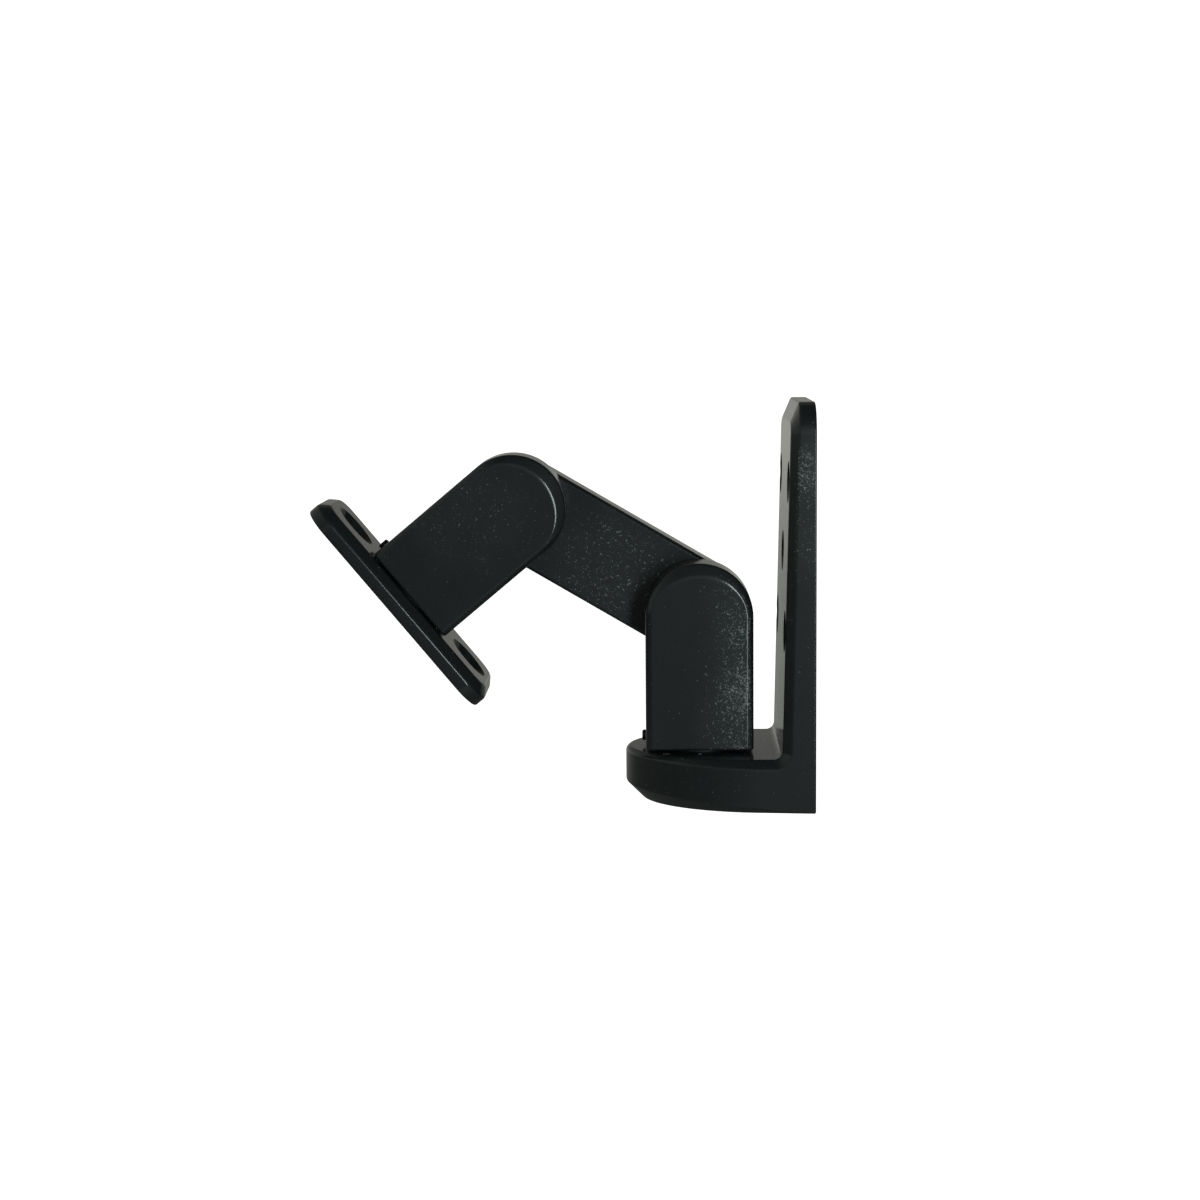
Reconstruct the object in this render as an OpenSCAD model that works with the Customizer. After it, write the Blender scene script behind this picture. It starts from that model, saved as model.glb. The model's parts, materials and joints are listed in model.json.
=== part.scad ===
// Speaker wall bracket: an L-shaped wall casting, a swivelling knuckle on its
// shelf, a link arm, a second knuckle and the plate that carries the speaker.
// The back of the wall casting lies in the plane x = 0 and the wall is on its
// +X side. The origin is the middle of the five wall holes. +Z is up.

/* [Wall plate] */
// Width of the wall casting
wall_w = 55; // [50:1:70]
// Height of the casting above the middle wall hole
wall_top = 42.2; // [38:0.2:60]
// Thickness of the plate at its top
wall_t_top = 6.8; // [6:0.1:9]
// Thickness of the plate where it meets the shelf
wall_t_low = 9.1; // [7:0.1:12]
// Radius of the two top corners
wall_corner_r = 8.6; // [4:0.2:12]
// Chamfer round the front edges of the plate and beside it on the shelf
edge_chamfer = 2.3; // [1:0.1:3]
// How far down that chamfer reaches at the top edge
top_chamfer = 5.7; // [2:0.1:7]

/* [Wall holes] */
// Distance between the two columns of wall holes
hole_span_y = 39; // [30:1:40]
// Distance between the top and bottom rows of wall holes
hole_span_z = 41; // [30:1:55]
// Diameter of each wall hole
wall_hole_d = 5.6; // [4:0.1:7]
// Diameter of each countersink at the front face
wall_sink_d = 11.6; // [9:0.1:14]

/* [Shelf] */
// Drop from the middle wall hole to the top of the shelf
shelf_drop = 55.3; // [45:0.1:80]
// Thickness of the shelf
shelf_t = 14.7; // [13:0.1:20]
// How far the tip of the shelf runs past the lower knuckle
shelf_lip = 5.7; // [3:0.1:12]
// Length of the half-oval front of the shelf
shelf_nose = 36; // [20:1:40]
// Chamfer under the tip of the shelf, which fades out at the wall
under_chamfer = 4.9; // [2:0.1:6]
// Chamfer above the tip of the shelf
tip_chamfer = 0.9; // [0.5:0.1:2]
// Fillet between the plate and the shelf
inner_fillet = 2.3; // [1:0.1:5]
// Gap between the plate and the corners of the knuckle as it pans
pan_clear = 1.2; // [0.8:0.1:8]

/* [Knuckles] */
// Width and depth of a knuckle, and the diameter of its round end
knuckle_w = 30; // [28:0.5:36]
// Height of the pivot above the base of a knuckle
pivot_h = 37.3; // [35:0.1:50]
// Gap between the end of the link arm and the floor of the lap pocket
lap_clear = 2.75; // [2.75:0.05:4]
// Width of the face bevel along the sides
bevel_side = 1.35; // [0.5:0.05:2]
// Width of the face bevel at the round end
bevel_tip = 3.5; // [2:0.1:5]
// Depth of the face bevel
bevel_depth = 1.3; // [0.5:0.1:2]
// Softening of the face along the base
base_soft = 0.2; // [0.1:0.1:1.5]

/* [Link arm] */
// Distance between the two pivots
link_len = 60; // [50:1:90]
// Width of the link arm
link_w = 27.5; // [24:0.5:29]
// Thickness of the link arm
link_t = 13; // [12:0.5:14]
// Softening of the near edges of the link arm
link_near_edge = 0.4; // [0.2:0.1:1]
// Softening of the far edges of the link arm
link_far_edge = 0.9; // [0.2:0.1:1.2]

/* [Speaker plate] */
// Distance from each countersink to the end of the speaker plate
plate_end = 4.2; // [3:0.1:15]
// Width of the speaker plate
plate_w = 33.4; // [32:0.2:50]
// Thickness of the speaker plate
plate_t = 6; // [5.5:0.1:8]
// Bevel round the front face of the speaker plate
plate_bevel = 2.5; // [1:0.1:3]
// Radius of the corners of the speaker plate
plate_corner_r = 7.5; // [4:0.1:8]
// Gap between the upper knuckle and each countersink beside it
plate_hole_clear = 2.6; // [0.5:0.1:8]
// Diameter of each speaker hole
plate_hole_d = 6.6; // [5:0.1:7]
// Diameter of each speaker hole's countersink
plate_sink_d = 13.8; // [10:0.1:14]

/* [Fasteners] */
// Diameter of the bolts
bolt_d = 6; // [5:0.5:6]
// Length of the three cap bolts under the head
bolt_len = 20; // [18:1:20]
// Diameter of a cap bolt's head
head_d = 10; // [8.5:0.1:11]
// Height of a cap bolt's head
head_h = 6; // [5:0.1:6]
// Width across the flats of a cap bolt's socket
socket_af = 5; // [4:0.5:5]
// Diameter of the flat washers
washer_d = 12; // [11:0.1:12.2]
// Thickness of the flat washers
washer_t = 1; // [0.8:0.1:1.2]
// Diameter of the split spring washers
spring_d = 11; // [9.5:0.1:11.8]
// Thickness of the split spring washers
spring_t = 1.4; // [1:0.1:1.6]
// Gap in a split spring washer
spring_slit = 0.8; // [0.4:0.1:1.5]
// Thickness of the link arm under the washers in its recesses
link_web = 6; // [5:0.1:8]
// How far the pan bolt's head lies inside the underside of the shelf
pan_head_cover = 0.3; // [0.1:0.1:0.6]
// Length of the countersunk bolt through the speaker plate
plate_bolt_len = 16; // [14:1:20]
// Diameter of the countersunk bolt's head
plate_bolt_head_d = 12; // [11:0.1:13]
// Width across the flats of the countersunk bolt's socket
plate_socket_af = 4; // [3:0.5:4]
// Diameter of the lock screws
lock_d = 3; // [2.5:0.5:3]
// Height of a lock screw above the base of its knuckle
lock_h = 2.1; // [2.1:0.1:4]
// How far a lock screw stands out of its knuckle
lock_proud = 1.1; // [0.5:0.1:2]
// Width across the flats of a lock screw's socket
lock_socket_af = 1.5; // [1:0.1:1.5]

/* [Friction washers] */
// Diameter of the thin friction washers
friction_d = 24; // [18:1:26]
// Thickness of the friction washers at the pan axis and at the plate
friction_t = 0.6; // [0.4:0.1:1]
// Thickness of the friction washers between a knuckle and the link arm
lap_t = 0.5; // [0.4:0.1:0.8]

/* [Clearances] */
// Radial clearance of a bolt in its thread or bore
run_gap = 0.05; // [0.02:0.01:0.1]
// Radial clearance of a bolt in a hole that it passes through
pass_gap = 0.3; // [0.2:0.1:0.5]
// Radial clearance of a washer or bolt head in its recess
recess_gap = 0.4; // [0.3:0.1:0.6]
// Free length past the end of a bolt in a blind hole
blind_gap = 1; // [0.5:0.1:1.5]

/* [Pose] */
// Rise of the link arm above level
link_rise = 30.4; // [0:0.1:60]
// Lean of the upper knuckle away from upright
knuckle_lean = 50.2; // [30:0.1:70]

/* [Hidden] */

$fn = 64;
hull_fn = 48;      // roundness of what goes into a hull
nose_steps = 24;   // steps along the half-oval front of the shelf
corner_steps = 12; // steps round a top corner of the wall plate
skin = 0.1;        // thickness of the slices that a hull joins, and the least chamfer
over = 1;          // how far a cut runs past the face that it opens

coat = "#1b1d1e";
black_steel = "#2a2b2d";
nylon = "#101112";

// Sizes, heights and places that follow from the sizes above
head_stack = washer_t + spring_t;
pan_recess = head_stack + head_h + pan_head_cover;
lap_drop = link_w / 2 + lap_clear;
pan_reach = wall_t_low + pan_clear + knuckle_w / sqrt(2);
shelf_reach = pan_reach + knuckle_w / 2 + shelf_lip;
plate_hole_span = knuckle_w + plate_sink_d + 2 * plate_hole_clear;
plate_len = plate_hole_span + plate_sink_d + 2 * plate_end;
shelf_top = -shelf_drop;
shelf_low = shelf_top - shelf_t;
half_w = wall_w / 2;
draft = (wall_t_low - wall_t_top) / (wall_top - shelf_top);
base_z = shelf_top + friction_t;
lower_pivot = [-pan_reach, 0, base_z + pivot_h];
upper_pivot = lower_pivot + link_len * [-cos(link_rise), 0, sin(link_rise)];
bolt_hole_r = bolt_d / 2 + run_gap;
bolt_pass_r = bolt_d / 2 + pass_gap;
recess_r = washer_d / 2 + recess_gap;
wall_sink_depth = (wall_sink_d - wall_hole_d) / 2;
plate_sink_depth = (plate_sink_d - plate_hole_d) / 2;
plate_top = -friction_t;
plate_low = plate_top - plate_t;

// Thickness of the wall plate at a height z
function wall_t(z) = wall_t_top + draft * (wall_top - z);

// Outline of the wall plate at one depth: its sides moved in by a margin, its
// top lowered by a drop, its foot at a height, and its depth leaning with z
function wall_ring(margin, drop, foot, depth, lean) = [
  for (side = [-1, 1], i = [-1 : corner_steps])
    let (
      step = side < 0 ? i : corner_steps - 1 - i,
      turn = 90 * step / corner_steps,
      r = wall_corner_r - margin,
      rise = max(wall_corner_r, drop + skin),
      on_foot = step < 0,
      y = side * (half_w - wall_corner_r + r * (on_foot ? 1 : cos(turn))),
      z = on_foot ? foot : wall_top - rise + (rise - drop) * sin(turn)
    )
    [-depth + lean * z, y, z]
];

// Outline of the shelf at one level, moved in by a margin at every point; the
// margin and the height z each have one value at the wall and one at the tip
function shelf_ring(margin_wall, margin_tip, z_wall, z_tip) = [
  for (i = [-1 : nose_steps + 1])
    let (
      on_nose = i >= 0 && i <= nose_steps,
      a = 90 - 180 * i / nose_steps,
      x = on_nose ? -(shelf_reach - shelf_nose) - shelf_nose * cos(a) : 0,
      share = -x / shelf_reach,
      m = margin_wall + (margin_tip - margin_wall) * share,
      out = on_nose ? [-half_w * cos(a), shelf_nose * sin(a)] : [0, i < 0 ? 1 : -1],
      y = on_nose ? half_w * sin(a) : out[1] * half_w,
      n = out / norm(out)
    )
    [x - m * n[0], y - m * n[1], z_wall + (z_tip - z_wall) * share]
];

// A cylinder along Y from a start depth y to an end depth
module y_rod(r, from, to) {
  translate([0, from, 0])
    rotate([-90, 0, 0])
      cylinder(r = r, h = to - from);
}

// A flat ring standing on z = 0
module ring(outer_d, inner_r, t) {
  difference() {
    cylinder(d = outer_d, h = t);
    translate([0, 0, -over])
      cylinder(r = inner_r, h = t + 2 * over);
  }
}

// A split spring washer standing on z = 0
module split_ring() {
  difference() {
    ring(spring_d, bolt_hole_r, spring_t);
    rotate(30)
      translate([0, -spring_slit / 2, -over])
        cube([spring_d, spring_slit, spring_t + 2 * over]);
  }
}

// A socket cap bolt, head below z = 0 and shank above
module cap_bolt() {
  difference() {
    union() {
      cylinder(d = bolt_d, h = bolt_len);
      translate([0, 0, -head_h])
        cylinder(d = head_d, h = head_h);
    }
    translate([0, 0, -head_h - over])
      cylinder(d = socket_af / cos(30), h = head_h / 2 + over, $fn = 6);
  }
}

// A lock screw along +X from its outer end at x = 0
module lock_screw_body(length) {
  rotate([0, 90, 0])
    difference() {
      union() {
        cylinder(d = lock_d, h = length - lock_d / 4);
        translate([0, 0, length - lock_d / 4])
          cylinder(r1 = lock_d / 2, r2 = lock_d / 4, h = lock_d / 4);
      }
      translate([0, 0, -over])
        cylinder(d = lock_socket_af / cos(30), h = lock_d / 2 + over, $fn = 6);
    }
}

// Puts a piece drawn on a knuckle's base where the lower knuckle stands
module at_lower_knuckle() {
  translate([-pan_reach, 0, base_z])
    children();
}

// Puts a piece drawn on a knuckle's base where the upper knuckle is held
module at_upper_knuckle() {
  translate(upper_pivot)
    rotate([0, knuckle_lean, 0])
      translate([0, 0, -pivot_h])
        children();
}

// Puts a piece drawn on z = 0, pointing up, on the far side of a pivot: z = 0
// becomes the depth given, and up becomes the way towards the near side
module at_pivot(place, depth) {
  translate(place + [0, depth, 0])
    rotate([90, 0, 0])
      children();
}

// A closed solid through a stack of rings with the same number of points, each
// running counterclockwise as seen from the last ring's side
module ring_stack(rings) {
  n = len(rings[0]);
  last = len(rings) - 1;
  polyhedron(
    points = [for (r = rings, p = r) p],
    faces = concat(
      [[for (i = [0 : n - 1]) i]],
      [[for (i = [n - 1 : -1 : 0]) last * n + i]],
      [
        for (k = [0 : last - 1], i = [0 : n - 1])
          [(k + 1) * n + i, (k + 1) * n + (i + 1) % n, k * n + (i + 1) % n]
      ],
      [
        for (k = [0 : last - 1], i = [0 : n - 1])
          [(k + 1) * n + i, k * n + (i + 1) % n, k * n + i]
      ]
    )
  );
}

// The plate of the casting that lies on the wall
module wall_plate() {
  back_low = shelf_low + edge_chamfer;
  front_low = shelf_top - edge_chamfer;
  ring_stack([
    wall_ring(0, 0, back_low, 0, 0),
    wall_ring(0, 0, front_low, wall_t(0) - edge_chamfer, draft),
    wall_ring(edge_chamfer, top_chamfer, front_low, wall_t(0), draft)
  ]);
}

// The shelf of the casting, chamfered above and below
module shelf() {
  ring_stack([
    shelf_ring(skin, under_chamfer, shelf_low, shelf_low),
    shelf_ring(0, 0, shelf_low + skin, shelf_low + under_chamfer),
    shelf_ring(0, 0, shelf_top - edge_chamfer, shelf_top - tip_chamfer),
    shelf_ring(edge_chamfer, tip_chamfer, shelf_top, shelf_top)
  ]);
}

// The fillet in the corner between the plate and the shelf
module corner_fillet() {
  width = wall_w - 2 * edge_chamfer;
  translate([-wall_t_low - inner_fillet, -width / 2, shelf_top - over])
    difference() {
      cube([inner_fillet + wall_t_low / 2, width, inner_fillet + over]);
      translate([0, 0, inner_fillet + over])
        y_rod(inner_fillet, -over, width + over);
    }
}

// A countersunk hole along X through the wall plate
module wall_hole(y, z) {
  translate([0, y, z])
    rotate([0, -90, 0]) {
      translate([0, 0, -over])
        cylinder(d = wall_hole_d, h = wall_t_low + 2 * over);
      translate([0, 0, wall_t(z) - wall_sink_depth])
        cylinder(d1 = wall_hole_d, d2 = wall_sink_d + 2 * over, h = wall_sink_depth + over);
    }
}

module wall_bracket() {
  color(coat)
    difference() {
      union() {
        wall_plate();
        shelf();
        corner_fillet();
      }
      wall_hole(0, 0);
      for (side = [-1, 1], row = [-1, 1])
        wall_hole(side * hole_span_y / 2, row * hole_span_z / 2);
      translate([-pan_reach, 0, shelf_low - over])
        cylinder(r = bolt_hole_r, h = shelf_t + 2 * over);
      translate([-pan_reach, 0, shelf_low - over])
        cylinder(r = recess_r, h = pan_recess + over);
    }
}

module pan_friction_washer() {
  color(nylon)
    translate([-pan_reach, 0, shelf_top])
      ring(friction_d, bolt_pass_r, friction_t);
}

module pan_washer() {
  color(black_steel)
    translate([-pan_reach, 0, shelf_low + pan_recess - washer_t])
      ring(washer_d, bolt_hole_r, washer_t);
}

module pan_spring_washer() {
  color(black_steel)
    translate([-pan_reach, 0, shelf_low + pan_recess - head_stack])
      split_ring();
}

module pan_bolt() {
  color(black_steel)
    translate([-pan_reach, 0, shelf_low + pan_recess - head_stack])
      cap_bolt();
}

// Outline of a knuckle's near face, inside its bevel
module face_outline() {
  side = knuckle_w / 2 - bevel_side;
  tip = knuckle_w / 2 - bevel_tip;
  translate([-side, base_soft])
    square([2 * side, pivot_h - base_soft]);
  translate([0, pivot_h])
    scale([1, tip / side])
      circle(r = side, $fn = hull_fn);
}

// Full outline of a knuckle: a square base and a round end
module full_outline() {
  translate([-knuckle_w / 2, 0])
    square([knuckle_w, pivot_h]);
  translate([0, pivot_h])
    circle(d = knuckle_w, $fn = hull_fn);
}

// Stands a slice of a knuckle up at a depth y
module knuckle_slice(y) {
  translate([0, y + skin, 0])
    rotate([90, 0, 0])
      linear_extrude(skin)
        children();
}

// Tapped hole for the bolt that holds a knuckle's base, bolt_in deep
module base_thread(bolt_in) {
  translate([0, 0, -over])
    cylinder(r = bolt_hole_r, h = bolt_in + blind_gap + over);
}

// A knuckle standing on z = 0: its near half rises beside the link arm
module knuckle(bolt_in) {
  near = -knuckle_w / 2;
  shoulder = pivot_h - lap_drop;
  thread_in = bolt_len - head_stack - link_web - lap_t;
  color(coat)
    difference() {
      union() {
        translate([near, near + bevel_depth, 0])
          cube([knuckle_w, knuckle_w - bevel_depth, pivot_h]);
        translate([0, 0, pivot_h])
          y_rod(knuckle_w / 2, near + bevel_depth, knuckle_w / 2);
        hull() {
          knuckle_slice(near + bevel_depth)
            full_outline();
          knuckle_slice(near)
            face_outline();
        }
      }
      translate([near - over, 0, shoulder])
        cube([knuckle_w + 2 * over, knuckle_w, pivot_h + knuckle_w]);
      translate([0, 0, pivot_h])
        y_rod(bolt_hole_r, -thread_in - blind_gap, over);
      base_thread(bolt_in);
      translate([near - over, 0, lock_h])
        rotate([0, 90, 0])
          cylinder(r = lock_d / 2 + run_gap, h = knuckle_w / 2 + over);
    }
}

// Depth that the pan bolt reaches into the lower knuckle
pan_bolt_in = bolt_len - head_stack - (shelf_t - pan_recess) - friction_t;

// Depth that the countersunk bolt reaches into the upper knuckle
plate_bolt_in = plate_bolt_len - plate_t - friction_t;

module lower_knuckle() {
  at_lower_knuckle()
    knuckle(pan_bolt_in);
}

module upper_knuckle() {
  at_upper_knuckle()
    knuckle(plate_bolt_in);
}

// A lock screw in its knuckle, its point just short of the bolt
module lock_screw() {
  length = knuckle_w / 2 + lock_proud - bolt_d / 2 - pass_gap;
  color(black_steel)
    translate([-knuckle_w / 2 - lock_proud, 0, lock_h])
      lock_screw_body(length);
}

module lower_lock_screw() {
  at_lower_knuckle()
    lock_screw();
}

module upper_lock_screw() {
  at_upper_knuckle()
    lock_screw();
}

// Depth of the floor of a recess in the link arm
recess_floor = lap_t + link_web;

// The thin washer between a knuckle and the link arm
module lap_washer(place) {
  color(nylon)
    at_pivot(place, lap_t)
      ring(friction_d, bolt_pass_r, lap_t);
}

// The flat washer in the bottom of a recess in the link arm
module pivot_washer(place) {
  color(black_steel)
    at_pivot(place, recess_floor + washer_t)
      ring(washer_d, bolt_hole_r, washer_t);
}

// The split washer under a pivot bolt's head
module pivot_spring_washer(place) {
  color(black_steel)
    at_pivot(place, recess_floor + head_stack)
      split_ring();
}

// A pivot bolt, entering from the far side
module pivot_bolt(place) {
  color(black_steel)
    at_pivot(place, recess_floor + head_stack)
      cap_bolt();
}

module lower_lap_washer() {
  lap_washer(lower_pivot);
}

module lower_pivot_washer() {
  pivot_washer(lower_pivot);
}

module lower_spring_washer() {
  pivot_spring_washer(lower_pivot);
}

module lower_pivot_bolt() {
  pivot_bolt(lower_pivot);
}

module upper_lap_washer() {
  lap_washer(upper_pivot);
}

module upper_pivot_washer() {
  pivot_washer(upper_pivot);
}

module upper_spring_washer() {
  pivot_spring_washer(upper_pivot);
}

module upper_pivot_bolt() {
  pivot_bolt(upper_pivot);
}

// The round-ended bar between the pivots, along -X from the lower one
module link_bar(r, from, to) {
  for (x = [0, -link_len])
    translate([x, 0, 0])
      y_rod(r, from, to, $fn = hull_fn);
}

module link_arm() {
  far = lap_t + link_t;
  color(coat)
    translate(lower_pivot)
      rotate([0, link_rise, 0])
        difference() {
          hull() {
            link_bar(link_w / 2 - link_near_edge, lap_t, far - link_far_edge);
            link_bar(link_w / 2, lap_t + link_near_edge, far - link_far_edge);
            link_bar(link_w / 2 - link_far_edge, lap_t + link_near_edge, far);
          }
          for (x = [0, -link_len])
            translate([x, 0, 0]) {
              y_rod(bolt_hole_r, 0, far + over);
              y_rod(recess_r, recess_floor, far + over);
            }
        }
}

module plate_friction_washer() {
  color(nylon)
    at_upper_knuckle()
      translate([0, 0, -friction_t])
        ring(friction_d, bolt_pass_r, friction_t);
}

// Outline of the speaker plate with its edges moved in by a margin
module plate_outline(margin) {
  for (x = [-1, 1], y = [-1, 1])
    translate([x * (plate_len / 2 - plate_corner_r), y * (plate_w / 2 - plate_corner_r)])
      circle(r = plate_corner_r - margin, $fn = hull_fn);
}

// A countersunk speaker hole, open towards the knuckle
module speaker_hole(x) {
  translate([x, 0, 0]) {
    translate([0, 0, plate_low - over])
      cylinder(d = plate_hole_d, h = plate_t + over);
    translate([0, 0, plate_top - plate_sink_depth])
      cylinder(d1 = plate_hole_d, d2 = plate_sink_d + 2 * over, h = plate_sink_depth + over);
  }
}

// The cone that the countersunk bolt's head sits in, grown by a gap
module bolt_cone(gap) {
  depth = (plate_bolt_head_d - bolt_d) / 2;
  translate([0, 0, plate_low])
    cylinder(d1 = plate_bolt_head_d + 2 * gap, d2 = bolt_d + 2 * gap, h = depth);
}

module speaker_plate() {
  color(coat)
    at_upper_knuckle()
      difference() {
        hull() {
          translate([0, 0, plate_low])
            linear_extrude(plate_t - plate_bevel)
              plate_outline(0);
          translate([0, 0, plate_top - skin])
            linear_extrude(skin)
              plate_outline(plate_bevel);
        }
        for (side = [-1, 1])
          speaker_hole(side * plate_hole_span / 2);
        translate([0, 0, plate_low - over])
          cylinder(r = bolt_hole_r, h = plate_t + 2 * over);
        bolt_cone(run_gap);
      }
}

module plate_bolt() {
  color(black_steel)
    at_upper_knuckle()
      difference() {
        union() {
          translate([0, 0, plate_low])
            cylinder(d = bolt_d, h = plate_bolt_len);
          bolt_cone(0);
        }
        translate([0, 0, plate_low - over])
          cylinder(d = plate_socket_af / cos(30), h = bolt_d / 2.5 + over, $fn = 6);
      }
}

wall_bracket();
pan_friction_washer();
lower_knuckle();
pan_washer();
pan_spring_washer();
pan_bolt();
lower_lock_screw();
lower_lap_washer();
lower_pivot_washer();
lower_spring_washer();
lower_pivot_bolt();
link_arm();
upper_knuckle();
upper_lap_washer();
upper_pivot_washer();
upper_spring_washer();
upper_pivot_bolt();
upper_lock_screw();
plate_friction_washer();
plate_bolt();
speaker_plate();
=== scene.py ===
"""Speaker wall bracket: a small black cast bracket that pans, tilts twice and turns its plate.

The packed model is the frame. The castings, the bolts and the lock screws are modelled here as
new pieces that stand for its plain ones, and the washers keep their own shapes. Everything is
in metres. The back of the wall casting lies in the plane x = 0, the origin is the middle of its
five holes, and +Z is up.
"""

import json
import math

import bmesh
import bpy
from bpy.props import FloatProperty, FloatVectorProperty, PointerProperty
from mathutils import Matrix, Vector

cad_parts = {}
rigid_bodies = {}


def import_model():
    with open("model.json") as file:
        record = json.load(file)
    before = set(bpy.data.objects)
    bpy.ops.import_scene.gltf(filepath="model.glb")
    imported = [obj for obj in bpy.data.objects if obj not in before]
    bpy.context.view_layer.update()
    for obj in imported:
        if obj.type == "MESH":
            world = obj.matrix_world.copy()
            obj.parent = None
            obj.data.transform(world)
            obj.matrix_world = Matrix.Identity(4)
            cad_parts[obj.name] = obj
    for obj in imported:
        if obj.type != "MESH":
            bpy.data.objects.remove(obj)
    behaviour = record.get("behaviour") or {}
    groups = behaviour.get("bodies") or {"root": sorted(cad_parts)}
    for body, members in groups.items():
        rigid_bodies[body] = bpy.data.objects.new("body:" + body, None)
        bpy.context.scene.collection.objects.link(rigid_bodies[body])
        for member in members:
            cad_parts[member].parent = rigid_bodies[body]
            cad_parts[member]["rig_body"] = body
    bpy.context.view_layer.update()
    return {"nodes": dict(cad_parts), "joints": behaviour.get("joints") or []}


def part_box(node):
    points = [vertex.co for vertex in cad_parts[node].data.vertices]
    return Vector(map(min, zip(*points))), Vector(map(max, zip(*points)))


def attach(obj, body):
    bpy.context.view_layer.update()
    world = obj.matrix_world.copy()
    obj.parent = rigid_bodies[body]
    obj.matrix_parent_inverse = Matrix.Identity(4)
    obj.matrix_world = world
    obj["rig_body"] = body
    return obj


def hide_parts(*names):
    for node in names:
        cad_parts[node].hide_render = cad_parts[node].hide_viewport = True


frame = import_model()

bl_info = {
    "name": "Speaker wall bracket",
    "version": (1, 0, 0),
    "blender": (4, 5, 0),
    "location": "3D View > Sidebar > Bracket",
    "description": "Models and finishes a cast speaker wall bracket around its packed frame",
    "category": "Add Mesh",
}

MM = 0.001
NEAR = 1e-6           # two places closer than this are the same, 0.001 mm
CLEAR = 1e-5          # room left between the turning link arm and its washers, 0.01 mm
OVER = 1 * MM         # how far a drill stands out of what it drills
FLAT = 0.05           # faces that turn by less than this angle, in degrees, become one
LARGE_ROUND = 96      # sides of a whole round end or nose
HOLE_ROUND = 64       # sides of a hole
KNURL_ROUND = 72      # sides of a cap bolt, with a groove at every other one
SCREW_ROUND = 32      # sides of a lock screw
ROUND_RIM = tuple(math.radians(turn) for turn in (0, 22.5, 45, 67.5, 90))

# Each casting's coat: how far its pattern is shifted, so that no two castings match, and where
# its painted glints lie, where bright specks crowd and the tone is lifted as if the key light
# glinted there: x, y, z and reach in millimetres, then how strongly.
COATS = {
    "wall": ((0, 0, 0), ((-3.5, -27.5, 25, 10, 1.2), (-3.5, -27.5, 8, 20, 0.7))),
    "lower": ((0.31, 0.12, 0.05), (
        (-15, -15, -48, 24, 1.1), (-15, -15, -30, 20, 1.0), (-18, -15, -12, 18, 0.8))),
    "upper": ((0.17, 0.43, 0.21), ((-95, -15, 12, 24, 0.5),)),
    "link": ((0.52, 0.33, 0.4), ((-56, 0.5, -6, 28, 0.8),)),
    "plate": ((0.71, 0.08, 0.63), ()),
}

# The pale lint on the shelf at the foot of the lower knuckle: x, y and reach in millimetres.
SHELF_LINT = ((-41.5, -15.9, 0.5), (-40.9, -15.6, 0.55), (-40.2, -15.35, 0.5), (-31.5, -16.0, 0.75))

NYLON_WASHERS = (
    "pan_friction_washer", "lower_lap_washer", "upper_lap_washer", "plate_friction_washer")

HINGES = {hinge["name"]: hinge for hinge in frame["joints"]}
PAN = Vector(HINGES["pan"]["pos_m"])
LOWER_PIVOT = Vector(HINGES["lower_tilt"]["pos_m"])
UPPER_PIVOT = Vector(HINGES["upper_tilt"]["pos_m"])
PLATE_AXIS = Vector(HINGES["plate_turn"]["axis"])
WALL_LOW, WALL_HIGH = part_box("wall_bracket")


def length(name, description, default):
    """A size in metres, given here in millimetres."""
    return FloatProperty(
        name=name, description=description, default=default * MM, min=0, unit="LENGTH",
        precision=4)


def colour(name, description, default, most=1):
    """A colour of a finish or a light, in linear light."""
    return FloatVectorProperty(
        name=name, description=description, default=default, size=3, min=0, max=most,
        subtype="COLOR")


def share(name, description, default):
    """A number from 0 to 1."""
    return FloatProperty(
        name=name, description=description, default=default, min=0, max=1, subtype="FACTOR")


def number(name, description, default):
    """A plain number that is not negative."""
    return FloatProperty(name=name, description=description, default=default, min=0)


def angle(name, description, default):
    """An angle, given here in degrees."""
    return FloatProperty(
        name=name, description=description, default=math.radians(default), unit="ROTATION")


class WallCastingSizes(bpy.types.PropertyGroup):
    """Sizes of the casting that is screwed to the wall"""

    thick_top: length("Thickness at the top", "Thickness of the plate at its top", 6.8)
    thick_low: length("Thickness at the shelf", "Thickness of the plate at the shelf", 9.1)
    corner: length("Top corner radius", "Radius of the two top corners of the plate", 8.6)
    chamfer: length("Edge chamfer", "Chamfer round the front edges of the plate", 2.3)
    top_chamfer: length("Top chamfer", "How far down that chamfer reaches at the top", 5.7)
    shelf_top: length("Shelf drop", "Drop from the middle hole to the top of the shelf", 55.3)
    nose: length("Nose length", "Length of the half-oval front of the shelf", 36)
    tip_chamfer: length("Tip chamfer", "Chamfer above the tip of the shelf", 0.9)
    under_chamfer: length("Under chamfer", "Chamfer under the tip of the shelf", 4.9)
    fillet: length("Inner fillet", "Fillet between the plate and the shelf", 2.3)
    hole: length("Wall hole", "Diameter of each wall hole", 5.6)
    sink: length("Countersink", "Diameter of each countersink", 11.6)
    hole_span_y: length("Hole columns", "Distance between the two columns of holes", 39)
    hole_span_z: length("Hole rows", "Distance between the top and bottom rows of holes", 41)
    recess_depth: length("Recess depth", "Depth of the bolt's recess under the shelf", 8.7)
    softness: length("Edge softness", "Rounding that the coat leaves on the edges", 0.45)


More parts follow.
